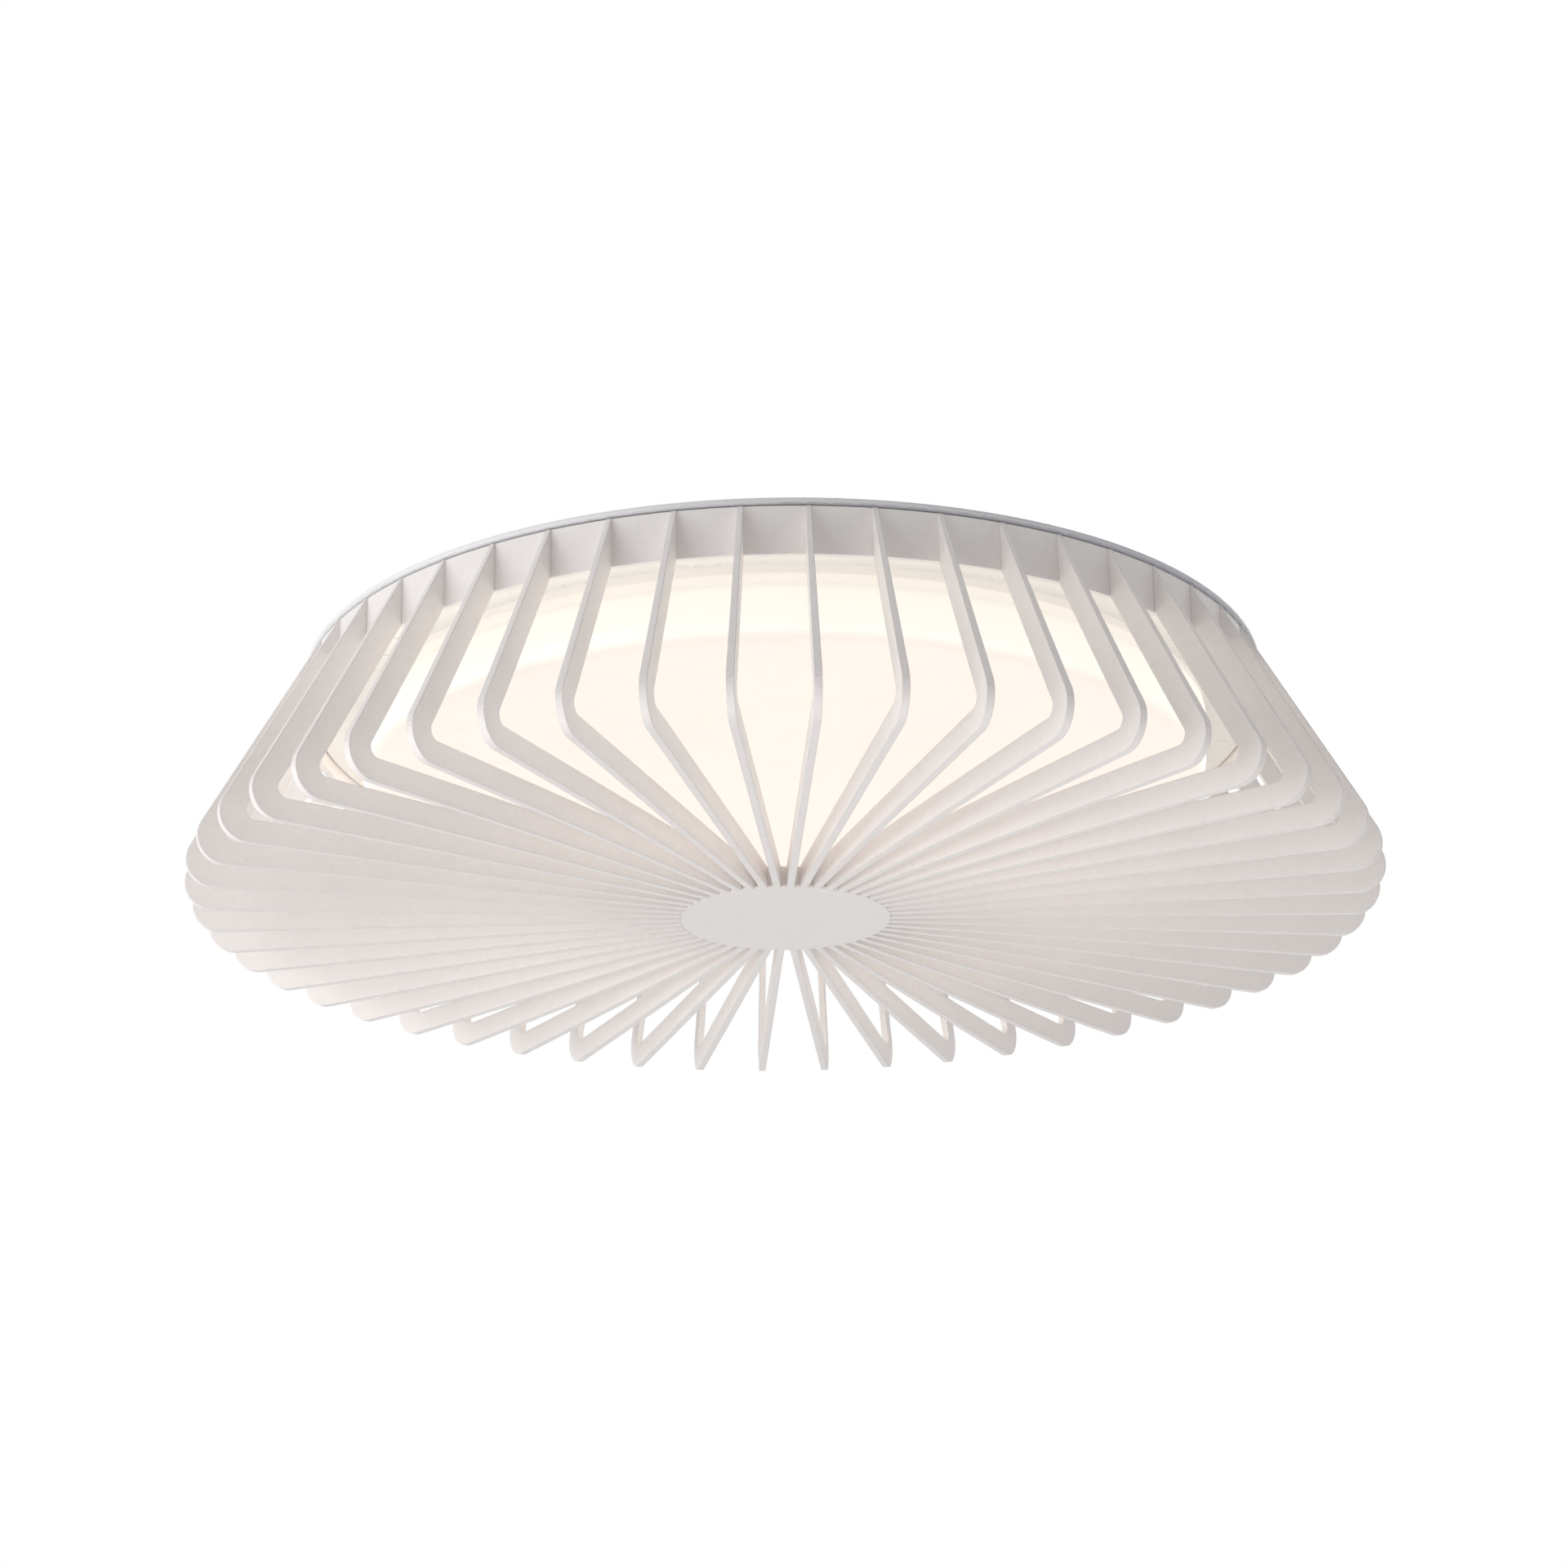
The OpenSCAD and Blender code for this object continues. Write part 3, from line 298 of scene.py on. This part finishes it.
def opal(name):
    """Opal plastic lit from inside. The side glows brightest below, and a painted shadow dims a line under
    its lip.
    """
    unlit_tones = (0.10, 0.105, 0.11, 1.0), (0.095, 0.10, 0.105, 1.0)
    face_tones = (0.845, 0.775, 0.695, 1.0), (0.88, 0.79, 0.71, 1.0)
    face_left, face_right = -0.15, 0.02
    turn_start, turn_end = 0.0011, 0.0034
    # The dip in the side's glow just under the lip is a painted shadow
    side_glow_and_lip_shadow_stops = (
        (0.14, (0.905, 0.895, 0.82)),
        (0.40, (0.91, 0.88, 0.785)),
        (0.74, (0.905, 0.855, 0.755)),
        (0.81, (0.865, 0.81, 0.715)),
        (0.835, (0.80, 0.74, 0.645)),
        (0.86, (0.865, 0.80, 0.70)),
    )
    cloud_size, lit_cloud_size, lit_least = 0.03, 0.05, 0.985
    patch_size, glossiest, dullest = 0.01, 0.3, 0.42
    grain, grain_strength, grain_depth = 0.0015, 0.15, 0.00002
    s = Shader(name)
    face = s.mix(s.spread(s.axis("X"), 0.0, 1.0, face_left, face_right), *face_tones)
    side = s.ramp(s.spread(s.axis("Z"), 0.0, 1.0, drum_low, drum_high), side_glow_and_lip_shadow_stops)
    on_side = s.spread(s.axis("Z"), 0.0, 1.0, drum_low + turn_start, drum_low + turn_end)
    lit = s.spread(s.noise(lit_cloud_size, detail=1.0), lit_least, 1.0)
    s.set(
        Base_Color=s.mix(s.patches(cloud_size), *unlit_tones),
        Roughness=s.spread(s.noise(patch_size), glossiest, dullest),
        Emission_Color=s.mix(lit, BLACK, s.mix(on_side, face, side)),
        Emission_Strength=1.0,
        IOR=1.49,
    )
    s.bump(s.noise(grain), grain_strength, grain_depth)
    return s


# The diffuser ring glows with painted light, a warm emission for the drum's light falling on it and through
# it
ring_plastic = plastic("ring_plastic", colour(178, 176, 174), roughness=0.4)
ring_plastic.set(Emission_Color=(1.0, 0.92, 0.82, 1.0), Emission_Strength=0.50)

finishes = (
    cage_plastic("cage_plastic", colour(246, 241, 239), roughness=0.45),
    # The rim's two tones are painted light and shade, lit at the left and shaded at the right
    paint(
        "pan_paint", colour(245, 244, 241), roughness=0.3,
        rim_lit_and_shaded_tones=(colour(240, 240, 241), colour(200, 200, 206)),
    ),
    opal("opal_plastic"),
    ring_plastic,
    metal("zinc_steel", colour(196, 199, 203), roughness=0.35, stretch=(0.06, 1, 1)),
    metal("screw_steel", colour(205, 207, 210), roughness=0.28),
    metal("clamp_brass", colour(214, 176, 96), roughness=0.3, stretch=(1, 0.1, 1)),
    rubber("seal_foam", colour(88, 88, 90), roughness=0.85, grain=0.0009, relief=0.0002),
    rubber("grommet_rubber", colour(40, 40, 42), roughness=0.6),
    plastic("cover_plastic", colour(236, 236, 233), roughness=0.4),
    plastic("terminal_plastic", colour(232, 229, 218), roughness=0.45, grain=0.0004),
    paint("board_white", colour(240, 240, 238), roughness=0.3),
    paint("board_green", colour(48, 110, 74), roughness=0.3),
    plastic("chip_phosphor", colour(244, 220, 120), roughness=0.25, grain=0.0003),
    plastic("lens_clear", colour(232, 240, 244), roughness=0.12, grain=0.002, relief=0.00001),
    rubber("ferrite", colour(58, 60, 64), roughness=0.55, grain=0.0004, relief=0.00005),
    plastic("capacitor_sleeve", colour(44, 58, 108), roughness=0.25, grain=0.0004),
    metal("choke_copper", colour(196, 116, 60), roughness=0.3, stretch=(1, 1, 0.2), grain=0.0006),
    plastic("mains_insulation", colour(90, 80, 110), roughness=0.4, grain=0.0005),
    plastic("output_insulation", colour(150, 44, 40), roughness=0.4, grain=0.0005),
    plastic("earth_insulation", colour(128, 172, 64), roughness=0.4, grain=0.0005),
)
finish_of = {finish.name: finish.material for finish in finishes}
slot_of = {part["node"]: part["material_slot"] for part in frame["record"]["subparts"]}
for name, node in nodes.items():
    node.data.materials.clear()
    node.data.materials.append(finish_of[slot_of[name]])


def round_edges(node, width, segments, angle, split=0.000004):
    """Joins the corners of a CAD mesh that lie no further apart than split, and rounds its sharp edges."""
    weld = node.modifiers.new("weld", "WELD")
    weld.merge_threshold = split
    bevel = node.modifiers.new("edge", "BEVEL")
    bevel.limit_method = "ANGLE"
    bevel.angle_limit = math.radians(angle)
    bevel.width = width
    bevel.segments = segments
    # Smooth shading, with normals that follow the flat faces
    for face in node.data.polygons:
        face.use_smooth = True
    smooth = node.modifiers.new("normals", "WEIGHTED_NORMAL")
    smooth.keep_sharp = True


for name in ("upper_ribs", "lower_ribs", "hub", "band"):
    round_edges(nodes[name], width=0.0003, segments=3, angle=32)


def background_rays(tree):
    """1 for the rays that show the background: straight, mirrored or through glass."""
    paths = tree.nodes.new("ShaderNodeLightPath")
    seen = paths.outputs["Is Camera Ray"]
    for ray in ("Is Glossy Ray", "Is Transmission Ray"):
        either = tree.nodes.new("ShaderNodeMath")
        either.operation = "MAXIMUM"
        tree.links.new(seen, either.inputs[0])
        tree.links.new(paths.outputs[ray], either.inputs[1])
        seen = either.outputs[0]
    return seen


# Stage: a pale floor, a room's height below the light, which shows paler than the lamps make it
floor_z, floor_size, floor_lift = -2.4, 30, 0.5
floor_tones = colour(243, 243, 243), colour(240, 240, 240)
floor_cloud_size, floor_patch_size, floor_glossiest, floor_dullest = 0.6, 0.2, 0.75, 0.85
bpy.ops.mesh.primitive_plane_add(size=floor_size, location=(0, 0, floor_z))
floor = bpy.context.object
floor.name = "floor"
ground = Shader("floor")
ground.set(
    Base_Color=ground.mix(ground.patches(floor_cloud_size), *floor_tones),
    Roughness=ground.spread(ground.noise(floor_patch_size), floor_glossiest, floor_dullest),
    Emission_Color=WHITE,
    Emission_Strength=ground.math("MULTIPLY", background_rays(ground.tree), floor_lift),
)
floor.data.materials.append(ground.material)

# World: white where it is seen, and dim where it lights the object
world_level, world_tone = 0.316, (1.0, 0.995, 0.99, 1.0)
world = bpy.data.worlds.new("studio")
scene.world = world
world.use_nodes = True
tree = world.node_tree
tree.nodes.clear()
dim = tree.nodes.new("ShaderNodeBackground")
dim.inputs["Color"].default_value = world_tone
dim.inputs["Strength"].default_value = world_level
white = tree.nodes.new("ShaderNodeBackground")
white.inputs["Color"].default_value = WHITE
choose = tree.nodes.new("ShaderNodeMixShader")
surface = tree.nodes.new("ShaderNodeOutputWorld")
tree.links.new(background_rays(tree), choose.inputs[0])
tree.links.new(dim.outputs[0], choose.inputs[1])
tree.links.new(white.outputs[0], choose.inputs[2])
tree.links.new(choose.outputs[0], surface.inputs["Surface"])


def area_lamp(name, place, direction, width, height, power):
    """A lamp at a place, which shines in a direction and isn't seen by the camera."""
    data = bpy.data.lights.new(name, "AREA")
    data.shape = "RECTANGLE"
    data.size = width
    data.size_y = height
    data.energy = power
    lamp = bpy.data.objects.new(name, data)
    scene.collection.objects.link(lamp)
    lamp.location = place
    lamp.rotation_euler = (-direction).to_track_quat("Z", "Y").to_euler()
    lamp.visible_camera = False
    return lamp


# Softboxes aimed at the light: place, size and power
aim = Vector((0, 0, -0.05))
for name, place, size, power in (
    ("key_left", (-2.4, -0.5, -0.2), 1.6, 14.2),
    ("fill_left_front", (-1.7, -1.7, -0.4), 1.4, 12.6),
    ("fill_front", (0, -2.4, -0.2), 1.6, 1.2),
    ("fill_below", (0, 0, -1.3), 1.6, 0.8),
    ("fill_top", (0, 0, 2.0), 2.0, 9.0),
    ("fill_below_left", (-1.3, -0.6, -1.2), 1.4, 9.8),
    ("fill_below_right", (1.3, -0.6, -1.2), 1.4, 7.9),
    ("fill_below_front", (0, -1.3, -1.25), 1.4, 1.6),
):
    area_lamp(name, place, aim - Vector(place), size, size, power)

# Light that the drum's side sends out between the ribs, strongest at the left as in the photograph:
# a ring of lamps just outside the drum, from a little above its foot to a little below its lip
glow_count, glow_gap, glow_foot, glow_head = 25, 0.0013, 0.0018, 0.0084
glow_power, glow_lean, glow_tone = 0.0028, 0.4, (1.0, 0.90, 0.76)
glow_radius = drum_radius + glow_gap
glow_low, glow_high = drum_low + glow_foot, drum_high - glow_head
glow_width = 2 * glow_radius * math.tan(math.pi / glow_count)
for i in range(glow_count):
    angle = math.tau * i / glow_count
    out = Vector((math.cos(angle), math.sin(angle), 0))
    place = out * glow_radius + Vector((0, 0, (glow_low + glow_high) / 2))
    power = glow_power * (1 - glow_lean * out.x)
    lamp = area_lamp("side_glow_%d" % i, place, out, glow_width, glow_high - glow_low, power)
    lamp.data.color = glow_tone
    lamp.visible_glossy = False

# Camera, at the place in metres and the angles in degrees that fit the photograph
camera_place = (0, -1.4013, -0.5429)
camera_rise, camera_roll = 19.692, -0.668
camera = bpy.data.objects.new("camera", bpy.data.cameras.new("camera"))
scene.collection.objects.link(camera)
camera.data.sensor_width = 36
camera.data.lens = 80.152
camera.data.clip_start = 0.05
camera.location = camera_place
rise = Matrix.Rotation(math.radians(90 + camera_rise), 4, "X")
roll = Matrix.Rotation(math.radians(camera_roll), 4, "Z")
camera.rotation_euler = (rise @ roll).to_euler()
scene.camera = camera

scene.view_settings.view_transform = "Standard"

bpy.context.view_layer.update()
